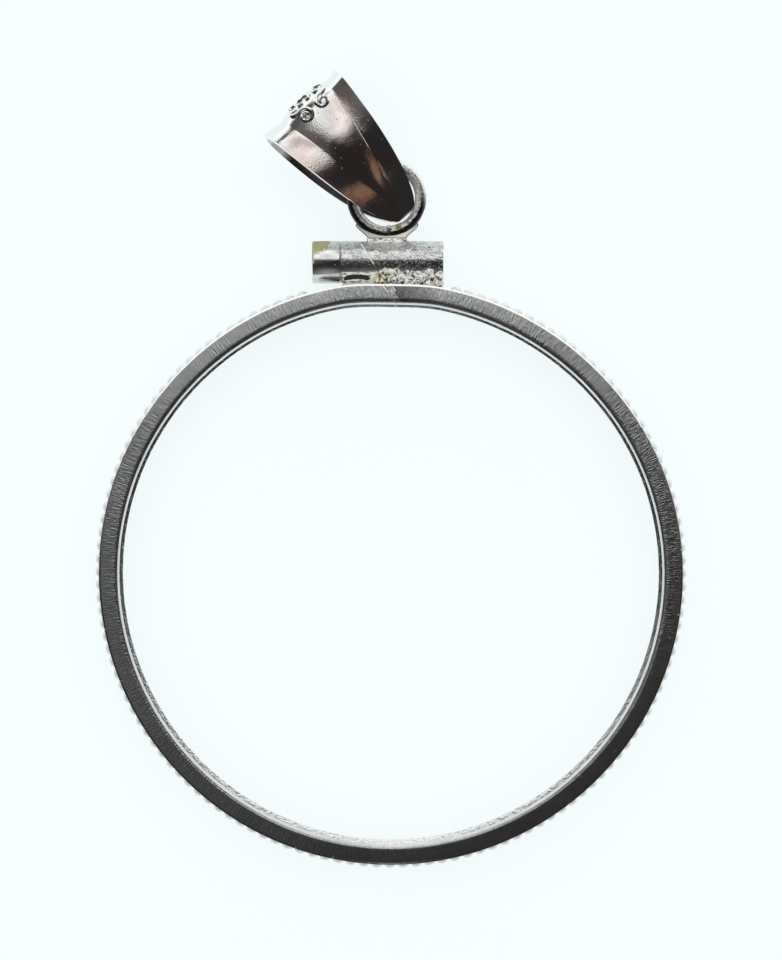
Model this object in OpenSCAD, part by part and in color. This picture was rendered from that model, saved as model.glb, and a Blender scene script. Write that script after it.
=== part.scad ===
// Screw-top coin bezel pendant, lying on its back. Millimetres.
// The ring's axis is Z, its back face is at z = 0 and the clamp and bail are towards +Y.

/* [Ring] */
// Radius of the smooth outer wall
ring_r = 19.8; // [19.75:0.05:19.95]
// Depth from the back face to the front face
ring_depth = 3.5; // [3.4:0.05:3.7]
// Radius of the coin that the ring holds
coin_r = 19.05; // [18.95:0.05:19.1]
// Height of the groove for the coin's rim
coin_height = 2.55; // [2.4:0.05:2.6]
// Radius of the window in the front lip
front_window_r = 18.42; // [18.4:0.02:18.6]
// Radius of the window in the back lip
back_window_r = 18.36; // [18.36:0.02:18.6]
// Radius of the rounded inner edge of the front lip
lip_round = 0.2; // [0.1:0.05:0.25]

/* [Milled edge] */
// Ridges that a full circle would hold
ridge_count = 140; // [120:2:160]
// Height of a ridge above the smooth wall
ridge_height = 0.3; // [0.2:0.01:0.35]
// Width of the milled band
ridge_band = 2.3; // [1.8:0.1:2.5]
// Angle that the clamp's left side keeps free of ridges
ridge_free_left = 16.5; // [16:0.5:20]
// Angle that the clamp's right side keeps free of ridges
ridge_free_right = 11; // [10.5:0.5:14]

/* [Clamp barrel] */
// Outer radius of the barrel
barrel_r = 1.45; // [1.4:0.01:1.5]
// Distance from the ring's axis to the barrel's axis
barrel_y = 21.1; // [21.05:0.05:21.2]
// Left end of the two knuckles
barrel_left = -3.43; // [-3.6:0.01:-3.3]
// Right end of the two knuckles
barrel_right = 3.57; // [3.4:0.01:3.8]
// Bore of the left knuckle, which clears the thread
clear_bore_r = 0.86; // [0.84:0.01:0.9]
// Bore of the right knuckle, which the thread runs in
thread_bore_r = 0.82; // [0.81:0.01:0.84]
// Width of the saw cut through the barrel and the ring
cut_width = 0.1; // [0.08:0.01:0.2]
// Angle of the saw cut from the radius
cut_angle = 31; // [28:0.5:33]
// A point on the saw cut, between the barrel and the ring
cut_point = [-0.96, 20.62];

/* [Screw] */
// Length of the screw head
head_length = 1.86; // [1.6:0.02:2.2]
// Gap between the head and the left knuckle
head_gap = 0.07; // [0.05:0.01:0.1]
// Width of the slot in the head
slot_width = 0.4; // [0.3:0.05:0.5]
// Depth of the slot in the head
slot_depth = 0.5; // [0.3:0.05:0.7]
// Turn of the slot out of the ring's plane
slot_turn = 5; // [0:5:90]
// Radius of the plain shank
shank_r = 0.7; // [0.65:0.01:0.74]
// Radius of the thread's crests
thread_r = 0.77; // [0.76:0.01:0.78]
// Distance between two crests of the thread
thread_pitch = 0.4; // [0.35:0.05:0.45]
// Crests on the thread
thread_turns = 10; // [8:1:10]
// Distance from the shank's tip to the barrel's right end
tip_inset = 0.6; // [0.4:0.05:0.8]

/* [Wire loop] */
// Radius of the loop's middle line
loop_r = 2.31; // [2.28:0.01:2.34]
// Radius of the loop's wire
wire_r = 0.4; // [0.38:0.01:0.41]
// Centre of the loop in the ring's plane
loop_centre = [-0.3, 25.5];
// Width of the foot plate under the loop
foot_width = 2.74; // [2.4:0.02:3]
// Thickness of the foot plate
foot_height = 0.5; // [0.4:0.02:0.6]

/* [Bail] */
// Lean of the bail to the left of straight up
bail_lean = 43; // [0:0.1:80]
// Roll of the bail about its own length
bail_roll = 5; // [0:0.5:6]
// Rise of the bail's wide end
bail_rise = 1.5; // [0:0.5:2]
// Height of the bail's middle line over the loop's, at the loop's centre
bail_lift = 0.43; // [0.4:0.01:0.46]
// Distance from the loop's centre to the bail's tip
bail_tip_reach = 1.85; // [1.8:0.01:1.88]
// Length of the bail from tip to fold
bail_length = 10.45; // [10:0.05:11]
// Thickness of its sheet metal
bail_wall = 0.36; // [0.3:0.01:0.38]
// Half width at the fold
bail_half_width = 3.25; // [3:0.05:3.4]
// Half width of the middle facet at the fold
facet_half_width = 2.05; // [1.8:0.05:2.2]
// How far the middle facet sits to the right at the fold
facet_shift = 0.25; // [0:0.05:0.3]
// Radius of the fold at the wide end
fold_r = 1.55; // [1.4:0.05:1.6]
// Radius of the closed tip
tip_r = 0.42; // [0.4:0.01:0.46]
// Radius that the two legs bulge on, seen from the side
leg_r = 12; // [11:0.5:14]
// How far the side edges of the two legs flare out at the wide end
flare = 0.24; // [0.18:0.02:0.26]
// How far the middle facet bulges at the fold
crown = 0.4; // [0.2:0.05:0.4]

/* [Scroll ornament] */
// Half length of one S scroll along its line
scroll_reach = 1.9; // [1.6:0.05:1.9]
// Angle that each end of a scroll curls through
scroll_curl = 310; // [260:10:330]
// Half width of the raised line
scroll_half_width = 0.1; // [0.08:0.01:0.12]
// Height of the raised line above the facet
scroll_height = 0.12; // [0.08:0.01:0.16]

/* [Hidden] */
mid_z = ring_depth / 2;
seat_r = coin_r + 0.05;
lip = (ring_depth - coin_height) / 2;
// The back lip thins towards its window, and its edge is eased
back_lip_fall = 0.14;
edge_ease = 0.06;
// The outer bevel at the front, and the smaller one at the back
bevel_width = 0.3;
bevel_depth = 0.14;
back_bevel = 0.15;
round_steps = 3;

// Ridge band: it starts inside the wall, and its crests fall away towards both edges
ridge_root_r = ring_r - 0.3;
ridge_steps = 6;
ridge_fall = 0.22;
ridge_fall_width = 0.45;
ridge_edge_fall = 0.1;
ridge_foot = 0.02;
ridge_fullness = 0.7;

head_r = barrel_r;
head_right = barrel_left - head_gap;
head_left = head_right - head_length;
shank_tip = barrel_right - tip_inset;
small_bevel = 0.1;
thread_root_r = 0.6;
// Each ring of the thread: its sloping flanks, its flat crest, and the plain root before the first
thread_flank = 0.13;
thread_crest = 0.05;
thread_lead = 0.12;
thread_runout = 0.2;

// Solder web between barrel and ring: its foot is inside the ring's wall
web_left = -2.9;
web_right = 3.5;
web_foot_y = 19.3;
web_waist_y = 20.05;
web_top_y = 20.75;
web_foot_half = 1.4;
web_waist_half = 1.2;
web_top_half = 1.38;

foot_sink = 0.18;
foot_bottom_y = barrel_y + barrel_r - foot_sink;
foot_top_y = foot_bottom_y + foot_height;
foot_half_depth = 0.6;
// Solder that flares from the foot to the loop: places beside the middle and above the foot
fillet_half_depth = 0.3;
fillet_side = [
    [1.3, -0.1],
    [1.37, 0.05],
    [1.59, 0.21],
    [1.8, 0.36],
    [1.98, 0.52],
    [2.15, 0.75],
    [2.2, 1.1],
    [1.8, 1.18],
    [1.5, 0.87],
    [0.8, 0.46]
];

// Centre line of the bail in its own plane: fold, two legs and tip are tangent arcs
fold_centre = [bail_length - fold_r, 0];
tip_centre = [tip_r, 0];
arc_gap = fold_centre[0] - tip_centre[0];
leg_offset = (pow(leg_r - tip_r, 2) - pow(leg_r - fold_r, 2) + arc_gap * arc_gap) / (2 * arc_gap);
leg_drop = sqrt(pow(leg_r - tip_r, 2) - leg_offset * leg_offset);
leg_centre = [tip_centre[0] + leg_offset, -leg_drop];
fold_end = atan2(leg_drop, fold_centre[0] - leg_centre[0]);
leg_end = atan2(leg_drop, tip_centre[0] - leg_centre[0]);
fold_steps = 7;
leg_steps = 11;
tip_steps = 4;
// Stations round the band, named by the angle of its outward normal
half_stations = concat(
    [for (i = [0:fold_steps - 1]) fold_end * i / fold_steps],
    [for (i = [0:leg_steps - 1]) fold_end + (leg_end - fold_end) * i / leg_steps],
    [for (i = [0:tip_steps - 1]) leg_end + (180 - leg_end) * i / tip_steps]
);
stations = concat(
    half_stations,
    [180],
    [for (i = [len(half_stations) - 1:-1:1]) -half_stations[i]]
);
// Places across the band: 1 is the crease beside the middle facet, 2 is the side edge
across = [-2, -1.7, -1.35, -1, -0.66, -0.33, 0, 0.33, 0.66, 1, 1.35, 1.7, 2];
width_power = 0.35;
crease_power = 0.95;
flare_power = 1.3;
// Share of the flare that reaches the fold, and share of the crown that reaches the legs
fold_flare = 0.65;
leg_crown = 0.4;
narrowest = 0.004;
// The closed tip sits a little to the right of the bail's middle
tip_skew = 0.05;
// and its left edge runs in straight towards it
tip_trim = 0.25;
skew_power = 6;

scroll_steps = 20;
// Place of one scroll: across the facet, and along it from the middle of the fold
scroll_centre = [0.78, 1.95];
scroll_turn = 5;
scroll_growth = 1.3;
scroll_sink = 0.1;
// Section of the line: how much wider its foot is, and how high its shoulders stand
scroll_foot = 1.2;
scroll_shoulder = 0.4;

// Points of an arc, from one angle to another
function arc_points(centre, r, from, to, steps) =
    [for (i = [0:steps])
        let (a = from + (to - from) * i / steps)
        centre + r * [cos(a), sin(a)]];

// Outline of the ring's wall and lips, as radius and height
function ring_outline() = concat(
    [[back_window_r + edge_ease, 0]],
    [[ring_r - back_bevel, 0], [ring_r, back_bevel]],
    [[ring_r, ring_depth - bevel_depth - edge_ease], [ring_r - edge_ease, ring_depth - bevel_depth]],
    [[ring_r - bevel_width, ring_depth]],
    arc_points([front_window_r + lip_round, ring_depth - lip_round], lip_round, 90, 180, round_steps),
    [[front_window_r, ring_depth - lip], [seat_r, ring_depth - lip], [seat_r, lip]],
    [[back_window_r + edge_ease, lip - back_lip_fall]],
    [[back_window_r, lip - back_lip_fall - edge_ease], [back_window_r, edge_ease]]
);

module ring() {
    rotate_extrude($fn = 180) polygon(ring_outline());
}

// Outline of the ridges: a row of rounded bumps outside, a plain arc inside the wall
module ridge_outline() {
    pitch = 360 / ridge_count;
    start = 90 + ridge_free_left;
    ridges = floor((360 - ridge_free_left - ridge_free_right) / pitch);
    steps = ridges * ridge_steps;
    bumps = [
        for (i = [0:steps])
        let (a = start + i * pitch / ridge_steps)
        let (swell = abs(sin(180 * i / ridge_steps)))
        (ring_r - ridge_foot + (ridge_height + ridge_foot) * pow(swell, ridge_fullness)) * [cos(a), sin(a)]
    ];
    root = [
        for (i = [ridges:-2:0])
        let (a = start + i * pitch)
        ridge_root_r * [cos(a), sin(a)]
    ];
    polygon(concat(bumps, root));
}

// Body of revolution that trims the ridges to a band with rounded shoulders
module ridge_trim() {
    low = mid_z - ridge_band / 2;
    high = mid_z + ridge_band / 2;
    inside = ridge_root_r - 1;
    crest = ring_r + ridge_height + ridge_foot;
    edge = crest - ridge_fall - ridge_edge_fall;
    rotate_extrude($fn = 180) polygon([
        [inside, low],
        [edge, low],
        [crest, low + ridge_fall_width],
        [crest, high - ridge_fall_width],
        [edge, high],
        [inside, high]
    ]);
}

module milled_edge() {
    intersection() {
        translate([0, 0, mid_z - ridge_band / 2 - 0.1])
            linear_extrude(ridge_band + 0.2) ridge_outline();
        ridge_trim();
    }
}

// Lays a shape that was made along Z along X instead, at the barrel's axis
module on_barrel_axis() {
    translate([0, barrel_y, mid_z]) rotate([0, 90, 0]) children();
}

module barrel() {
    length = barrel_right - barrel_left;
    on_barrel_axis() translate([0, 0, barrel_left])
        rotate_extrude($fn = 64) polygon([
            [0, 0],
            [barrel_r - small_bevel / 2, 0],
            [barrel_r, small_bevel / 2],
            [barrel_r, length - small_bevel],
            [barrel_r - small_bevel, length],
            [0, length]
        ]);
}

module barrel_bores() {
    cut_x = cut_point[0] - (barrel_y - cut_point[1]) * tan(cut_angle);
    on_barrel_axis() translate([0, 0, barrel_left - 1])
        cylinder(r = clear_bore_r, h = cut_x - barrel_left + 1, $fn = 64);
    on_barrel_axis() translate([0, 0, cut_x - 0.5])
        cylinder(r = thread_bore_r, h = barrel_right - cut_x + 1.5, $fn = 64);
}

// Solder that fills the crevice between the barrel and the ring, hollow at its sides
module solder_web() {
    translate([web_left, 0, mid_z]) rotate([90, 0, 90])
        linear_extrude(web_right - web_left) polygon([
            [web_foot_y, -web_foot_half],
            [web_waist_y, -web_waist_half],
            [web_top_y, -web_top_half],
            [web_top_y, web_top_half],
            [web_waist_y, web_waist_half],
            [web_foot_y, web_foot_half]
        ]);
}

module wire_loop() {
    translate([loop_centre[0], loop_centre[1], mid_z])
        rotate_extrude($fn = 96) translate([loop_r, 0]) circle(r = wire_r, $fn = 48);
}

// Foot plate on the barrel, with solder that flares up to the loop
module loop_foot() {
    translate([loop_centre[0] - foot_width / 2, foot_bottom_y, mid_z - foot_half_depth])
        cube([foot_width, foot_top_y - foot_bottom_y, 2 * foot_half_depth]);
    other_side = [for (i = [len(fillet_side) - 1:-1:0]) [-fillet_side[i][0], fillet_side[i][1]]];
    translate([loop_centre[0], foot_top_y, mid_z - fillet_half_depth])
        linear_extrude(2 * fillet_half_depth) polygon(concat(fillet_side, other_side));
}

module saw_cut() {
    reach = 2.75;
    translate([cut_point[0], cut_point[1], mid_z]) rotate([0, 0, cut_angle])
        translate([-cut_width / 2, -reach, -ring_depth])
        cube([cut_width, 2 * reach, 2 * ring_depth]);
}

module bezel_frame() {
    color("silver") difference() {
        union() {
            ring();
            milled_edge();
            barrel();
            solder_web();
            loop_foot();
            wire_loop();
        }
        barrel_bores();
        saw_cut();
    }
}

// Outline of the screw as radius and distance from the head's outer face
function screw_outline() =
    let (shoulder = head_length)
    let (length = shank_tip - head_left)
    let (thread_start = length - thread_runout - thread_turns * thread_pitch)
    let (crest_end = thread_flank + thread_crest)
    concat(
        [[0, 0], [head_r - small_bevel, 0], [head_r, small_bevel]],
        [[head_r, shoulder - small_bevel / 2], [head_r - small_bevel / 2, shoulder], [shank_r, shoulder]],
        [[shank_r, thread_start], [thread_root_r, thread_start + thread_lead / 2]],
        [for (i = [0:thread_turns - 1])
            let (z = thread_start + thread_lead + i * thread_pitch)
            each [
                [thread_root_r, z],
                [thread_r, z + thread_flank],
                [thread_r, z + crest_end],
                [thread_root_r, z + crest_end + thread_flank]
            ]],
        [[thread_root_r - small_bevel, length], [0, length]]
    );

module clamp_screw() {
    color("lightgray") difference() {
        on_barrel_axis() translate([0, 0, head_left])
            rotate_extrude($fn = 64) polygon(screw_outline());
        on_barrel_axis() rotate([0, 0, slot_turn])
            translate([-slot_width / 2, -head_r - 1, head_left - 1])
            cube([slot_width, 2 * head_r + 2, slot_depth + 1]);
    }
}

// Share of the bail's length at a station, from nearly 0 at the tip to 1 at the fold
function arc_centre(q) = q <= fold_end ? fold_centre : q <= leg_end ? leg_centre : tip_centre;
function arc_radius(q) = q <= fold_end ? fold_r : q <= leg_end ? leg_r : tip_r;
function share_at(station) =
    let (q = abs(station))
    max(narrowest, min(1, (arc_centre(q)[0] + arc_radius(q) * cos(q)) / bail_length));

// Distance from the band's middle for a place across it
function across_at(share, place) =
    let (half = bail_half_width * pow(share, width_power))
    let (crease = facet_half_width * pow(share, crease_power))
    let (p = abs(place))
    let (half_place = p <= 1 ? p * crease : crease + (p - 1) * (half - crease))
    let (facet_share = min(1, 2 - p))
    let (left_share = place > 0 ? half_place / half : 0)
    let (tip_shift = (tip_skew + tip_trim * left_share) * pow(1 - share, skew_power))
    sign(place) * half_place - tip_shift - facet_shift * share * facet_share;

// Rise of the outer face over the centre line: the middle facet is domed, the side facets flare
function rise_at(share, station, place) =
    let (fold_share = max(0, cos(station)))
    let (p = abs(place))
    p <= 1
        ? crown * (leg_crown + (1 - leg_crown) * fold_share) * share * (1 - p * p)
        : flare * (1 + (fold_flare - 1) * fold_share) * share * pow(p - 1, flare_power);

// A point of the bail: u along it, v across it, w from back to front
function bail_point(station, place, offset) =
    let (q = abs(station))
    let (side = station < 0 ? -1 : 1)
    let (share = share_at(station))
    let (reach = arc_radius(q) + rise_at(share, station, place) + offset)
    let (c = arc_centre(q))
    [
        c[0] + reach * cos(station),
        across_at(share, place),
        side * c[1] + reach * sin(station)
    ];

function bail_section(station) = concat(
    [for (p = across) bail_point(station, p, 0)],
    [for (i = [len(across) - 1:-1:0]) bail_point(station, across[i], -bail_wall)]
);

// Joins each section to the next with two triangles for each side
function band_faces(rings, sides) = [
    for (i = [0:rings - 1], j = [0:sides - 1])
    let (a = i * sides + j)
    let (b = i * sides + (j + 1) % sides)
    let (c = ((i + 1) % rings) * sides + (j + 1) % sides)
    let (d = ((i + 1) % rings) * sides + j)
    each [[a, c, b], [a, d, c]]
];

module bail_band() {
    polyhedron(
        points = [for (s = stations) each bail_section(s)],
        faces = band_faces(len(stations), 2 * len(across))
    );
}

// Line of one S scroll, flat: it curls tighter with the distance from its middle
function scroll_angle(s) = scroll_turn - scroll_curl * pow(abs(s) / scroll_reach, scroll_growth);
function scroll_line(s, steps) =
    let (d = s / steps)
    [for (i = 0, p = [0, 0]; i <= steps;
        p = p + d * [cos(scroll_angle((i + 0.5) * d)), sin(scroll_angle((i + 0.5) * d))],
        i = i + 1) p];

// Station at a distance along the outer face from the middle of the fold
function station_at(distance) =
    let (fold_length = (fold_r + crown) * fold_end * PI / 180)
    distance < fold_length
        ? distance / (fold_r + crown) * 180 / PI
        : fold_end + (distance - fold_length) / leg_r * 180 / PI;

// A point of the ornament on the domed facet, from its flat place
function scroll_point(flat, offset, side) =
    let (station = station_at(scroll_centre[1] + flat[1]))
    bail_point(station, side * (scroll_centre[0] + flat[0]) / facet_half_width, offset);

// Section of the raised line; its points run the other way round on the mirrored side
function scroll_section(p, angle, side) =
    let (n = side * scroll_half_width * [-sin(angle), cos(angle)])
    [
        scroll_point(p - scroll_foot * n, -scroll_sink, side),
        scroll_point(p - n, scroll_height * scroll_shoulder, side),
        scroll_point(p, scroll_height, side),
        scroll_point(p + n, scroll_height * scroll_shoulder, side),
        scroll_point(p + scroll_foot * n, -scroll_sink, side)
    ];

// Faces of an open ridge: its sides, and a fan over each end
function ridge_faces(rings, sides) = concat(
    [for (i = [0:rings - 2], j = [0:sides - 1])
        let (a = i * sides + j)
        let (b = i * sides + (j + 1) % sides)
        each [[a, b, b + sides], [a, b + sides, a + sides]]],
    [for (j = [1:sides - 2]) [0, j + 1, j]],
    [for (j = [1:sides - 2]) [(rings - 1) * sides, (rings - 1) * sides + j, (rings - 1) * sides + j + 1]]
);

// One S scroll: side is 1, or -1 for its mirror image
module s_scroll(side) {
    first = scroll_line(-scroll_reach, scroll_steps);
    second = scroll_line(scroll_reach, scroll_steps);
    line = concat([for (i = [scroll_steps:-1:1]) first[i]], second);
    sections = [
        for (i = [0:2 * scroll_steps])
        let (s = (i - scroll_steps) * scroll_reach / scroll_steps)
        scroll_section(line[i], scroll_angle(s), side)
    ];
    polyhedron(
        points = [for (q = sections) each q],
        faces = ridge_faces(len(sections), 5)
    );
}

module bail() {
    color("silver")
        translate([loop_centre[0], loop_centre[1], mid_z + bail_lift])
        rotate([0, 0, 90 + bail_lean])
        rotate([0, -bail_rise, 0])
        rotate([bail_roll, 0, 0])
        translate([-bail_tip_reach, 0, 0])
        union() {
            bail_band();
            s_scroll(1);
            s_scroll(-1);
        }
}

bezel_frame();
clamp_screw();
bail();
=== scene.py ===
"""Looks of an empty screw-top coin bezel pendant in sterling silver, built round its packed frame."""

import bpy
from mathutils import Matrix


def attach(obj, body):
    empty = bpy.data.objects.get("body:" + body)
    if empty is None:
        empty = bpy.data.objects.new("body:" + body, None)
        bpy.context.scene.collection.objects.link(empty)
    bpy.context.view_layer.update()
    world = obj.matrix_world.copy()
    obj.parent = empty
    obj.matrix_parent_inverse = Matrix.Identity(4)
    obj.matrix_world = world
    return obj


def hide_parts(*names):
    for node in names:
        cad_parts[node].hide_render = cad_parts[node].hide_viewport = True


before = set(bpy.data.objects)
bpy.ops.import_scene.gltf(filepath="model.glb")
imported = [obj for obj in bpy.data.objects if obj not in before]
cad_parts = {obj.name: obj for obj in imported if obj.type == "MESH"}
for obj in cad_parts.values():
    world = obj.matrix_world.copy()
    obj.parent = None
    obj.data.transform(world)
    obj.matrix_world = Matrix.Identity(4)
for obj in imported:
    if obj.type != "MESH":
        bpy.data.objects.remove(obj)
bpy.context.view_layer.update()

import math

import bmesh
import bpy
from mathutils import Matrix, Vector, noise

bl_info = {
    "name": "Coin bezel pendant",
    "version": (1, 0, 0),
    "blender": (4, 5, 0),
    "location": "3D View > Sidebar > Bezel",
    "description": "Builds a screw-top coin bezel with its bail, and a pale stage for it",
    "category": "Object",
}

# Sizes inside the shapes are millimetres, turned to metres as each piece is finished
MM = 0.001
MID_Z = 1.75  # height of the ring's middle, which the barrel and the loop share
CUT_PLACE = (-0.96, 20.62, MID_Z)  # a point on the saw cut, between the barrel and the ring
CUT_ANGLE = math.radians(31)  # turn of the cut from the ring's radius
CUT_ACROSS = (math.cos(CUT_ANGLE), math.sin(CUT_ANGLE), 0)
LOOP_PLACE = (-0.3, 25.5, MID_Z)  # centre of the wire loop, which the bail swings round
BAIL_LEAN = 43  # degrees that the bail leans to the left
BAIL_WAY = (-0.682, 0.731, 0)  # direction of the bail from its tip to its fold
FRAME = ("frame", "bezel_frame", "frame_silver")  # body, CAD node and material slot
SCREW = ("screw", "clamp_screw", "screw_silver")
BAIL = ("bail", "bail", "bail_silver")
SMOOTH = {"interpolation_type": "SMOOTHSTEP"}


def linear(code):
    """Scene-linear colour of an sRGB hex code."""
    parts = [int(code[i : i + 2], 16) / 255 for i in (0, 2, 4)]
    return tuple(c / 12.92 if c <= 0.04045 else ((c + 0.055) / 1.055) ** 2.4 for c in parts)


def length(name, description, default):
    """A size in metres that a user may change, given here in millimetres."""
    return bpy.props.FloatProperty(
        name=name, description=description, default=default * MM, precision=5, unit="LENGTH"
    )


def colour(name, description, code):
    """A colour that a user may change."""
    return bpy.props.FloatVectorProperty(
        name=name, description=description, default=linear(code), subtype="COLOR", min=0, max=1
    )


class RingSizes(bpy.types.PropertyGroup):
    """The split ring and its milled edge."""

    wall_radius: length("Wall radius", "Radius of the smooth outer wall", 19.8)
    depth: length("Depth", "From the back face to the front face", 3.5)
    front_window: length("Front window", "Radius of the window in the front lip", 18.42)
    back_window: length("Back window", "Radius of the window in the back lip", 18.36)
    seat_radius: length("Seat radius", "Radius of the coin's groove", 19.1)
    seat_height: length("Seat height", "Height of the coin's groove", 2.55)
    face_fall: length("Face fall", "How far the domed front face falls at its outer edge", 0.08)
    ridge_height: length("Ridge height", "Height of a milled ridge over the wall", 0.3)
    ridge_length: length("Ridge length", "Length of a milled ridge along the wall", 2.3)
    flat: length("Flattening", "How far the sprung ring is pressed in to the right of the cut", 0.21)
    dip: length("Dip", "How far the two ends of the ring bend in at the cut", 0.14)
    ridges: bpy.props.IntProperty(
        name="Ridges", description="Ridges that a full circle would hold", default=140
    )


class ClampSizes(bpy.types.PropertyGroup):
    """The clamp barrel, its screw, the foot plate and the wire loop."""

    barrel_radius: length("Barrel radius", "Outer radius of the barrel and of the screw head", 1.45)
    barrel_y: length("Barrel place", "From the ring's axis to the barrel's axis", 21.1)
    barrel_left: length("Barrel left", "Left end of the two knuckles", -3.43)
    barrel_right: length("Barrel right", "Right end of the two knuckles", 3.57)
    cut_width: length("Saw cut", "Width of the cut that splits the ring and the barrel", 0.03)
    head_length: length("Head length", "Length of the screw head", 1.86)
    head_gap: length("Head gap", "Gap between the head and the left knuckle", 0.03)
    shank_radius: length("Shank radius", "Radius of the screw's plain shank", 0.7)
    loop_radius: length("Loop radius", "Radius of the wire loop's middle line", 2.31)
    wire_radius: length("Wire radius", "Radius of the loop's wire", 0.4)
    lump_count: bpy.props.IntProperty(
        name="Lumps", description="Lumps of solder along the clamp", default=130
    )


class BailSizes(bpy.types.PropertyGroup):
    """The tapered, faceted, folded bail."""

    length: length("Length", "From the closed tip to the fold", 10.45)
    wall: length("Wall", "Thickness of the sheet metal", 0.36)
    half_width: length("Half width", "Half width at the fold", 3.25)
    facet_half_width: length("Facet half width", "Half width of the middle facet at the fold", 2.05)
    edge_round: length("Edge round", "Width of the rounding on every rim", 0.09)
    scroll_wire: length("Scroll line", "Half width of the raised scroll line", 0.13)


class SilverColours(bpy.types.PropertyGroup):
    """What the silver and its tarnish look like."""

    silver: colour("Silver", "Clean sterling silver", "F1F2EF")
    # Partly a real warm film and partly a painted warm reflection on the bail
    pink_silver: colour("Pink silver", "Silver under a thin warm film", "EFDAD4")
    straw: colour("Straw", "Yellowish solder round the saw cut", "EFEAD0")
    olive: colour("Olive film", "Yellow-green patch on the screw head", "B4B180")
    solder: colour("Solder", "Silver solder, whiter than the sheet", "F6F7F2")
    # This black colour also paints shade: a painted dark reflection on the wire's outer flank, a painted
    # shadow under the left knuckle, and painted shade on the ring's right end beside the cut
    oxide: colour("Oxide", "Black tarnish on the wire's outer flank", "2E2F2E")
    # This brown colour also paints shade, as the dark outline round the foot's fillet
    soot: colour("Soot", "What lies in the pits and seams", "6B5F56")
    ring_bloom: colour("Ring bloom", "Grey bloom on the tumbled ring", "C8CECB")
    tube_bloom: colour("Tube bloom", "Grey bloom on the drawn barrel", "E5E6E5")


class StageSettings(bpy.types.PropertyGroup):
    """Floor, surroundings, light and camera."""

    floor: colour("Floor", "Light that comes through the pale sheet from below", "F3FAFB")
    sheet: colour("Sheet", "The sheet's own colour, on which shadows fall", "6C7071")
    floor_size: bpy.props.FloatProperty(
        name="Floor size", description="Length of each side of the floor", default=4.0, unit="LENGTH"
    )
    overhead: bpy.props.FloatProperty(
        name="Overhead", description="Brightness of the dark area overhead", default=0.022
    )
    card: bpy.props.FloatProperty(
        name="Card", description="Brightness of the bright card behind the bail", default=1.1
    )
    back: bpy.props.FloatProperty(
        name="Back", description="Brightness of the grey wall round the card", default=0.09
    )
    walls: bpy.props.FloatProperty(
        name="Walls", description="Brightness of the pale walls", default=1.12
    )
    glint: colour("Glint", "Amber card that the lower bail mirrors", "82695A")
    fill: bpy.props.FloatProperty(
        name="Fill", description="Strength of the wide soft light on floor and solder", default=2.3
    )
    glow: bpy.props.FloatProperty(
        name="Glow", description="Strength of the light that comes through the sheet", default=0.89
    )
    camera_height: length("Camera height", "Height of the camera over the floor", 270.5)
    camera_y: length("Camera place", "From the ring's axis to the camera, towards the bail", 6.27)
    lens: bpy.props.FloatProperty(
        name="Lens", description="Focal length in millimetres", default=147.9
    )


GROUPS = {
    "bezel_ring": RingSizes,
    "bezel_clamp": ClampSizes,
    "bezel_bail": BailSizes,
    "bezel_silver": SilverColours,
    "bezel_stage": StageSettings,
}


# Shaping


def rounded(corners, steps=5):
    """Points of a closed outline whose corners, each a place and a radius, are rounded."""
    points = []
    for i, (place, radius) in enumerate(corners):
        here = Vector(place)
        if radius == 0:
            points.append(here)
            continue
        before = (Vector(corners[i - 1][0]) - here).normalized()
        after = (Vector(corners[(i + 1) % len(corners)][0]) - here).normalized()
        half = before.angle(after) / 2
        centre = here + (before + after).normalized() * radius / math.sin(half)
        trim = radius / math.tan(half)
        first, last = here + before * trim - centre, here + after * trim - centre
        turn = math.copysign(math.pi - 2 * half, first.cross(last))
        points += [centre + Matrix.Rotation(turn * k / steps, 2) @ first for k in range(steps + 1)]
    return points


def turned(outline, centre, axis, across, steps):
    """A closed outline, as distance from the axis and distance along it, spun a full turn."""
    bm = bmesh.new()
    centre, axis, across = Vector(centre), Vector(axis), Vector(across)
    verts = [bm.verts.new(centre + across * p[0] + axis * p[1]) for p in outline]
    edges = [bm.edges.new((verts[i - 1], verts[i])) for i in range(len(verts))]
    full = {"cent": centre, "axis": axis, "angle": math.tau, "steps": steps, "use_merge": True}
    bmesh.ops.spin(bm, geom=verts + edges, **full)
    bmesh.ops.remove_doubles(bm, verts=bm.verts, dist=1e-7)
    bmesh.ops.recalc_face_normals(bm, faces=bm.faces)
    return bm


def box(low, high):
    """A plain block between two corners."""
    bm = bmesh.new()
    bmesh.ops.create_cube(bm, size=1)
    low, high = Vector(low), Vector(high)
    bmesh.ops.scale(bm, vec=high - low, verts=bm.verts)
    bmesh.ops.translate(bm, vec=(low + high) / 2, verts=bm.verts)
    return bm


def scratch_object(bm, name):
    """A shape as an object that is only worked on, and removed again."""
    mesh = bpy.data.meshes.new(name)
    bm.to_mesh(mesh)
    bm.free()
    obj = bpy.data.objects.new(name, mesh)
    bpy.context.scene.collection.objects.link(obj)
    return obj


def worked(bm, kind, cutter=None, **settings):
    """The shape after one modifier: a Boolean saws it with a cutter, a Remesh melts lumps into one."""
    obj = scratch_object(bm, "workpiece")
    modifier = obj.modifiers.new("work", kind)
    for key, value in settings.items():
        setattr(modifier, key, value)
    spare = [obj]
    if cutter is not None:
        modifier.object = scratch_object(cutter, "cutter")
        spare.append(modifier.object)
    done = obj.evaluated_get(bpy.context.evaluated_depsgraph_get())
    result = bmesh.new()
    result.from_mesh(done.to_mesh())
    done.to_mesh_clear()
    for item in spare:
        mesh = item.data
        bpy.data.objects.remove(item)
        bpy.data.meshes.remove(mesh)
    return result


def along_cut(low, high):
    """A block in the slanted frame of the saw cut: x across the cut, y along it towards the loop."""
    bm = box(low, high)
    place = Matrix.Translation(CUT_PLACE) @ Matrix.Rotation(CUT_ANGLE, 4, "Z")
    bmesh.ops.transform(bm, matrix=place, verts=bm.verts)
    return bm


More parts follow.
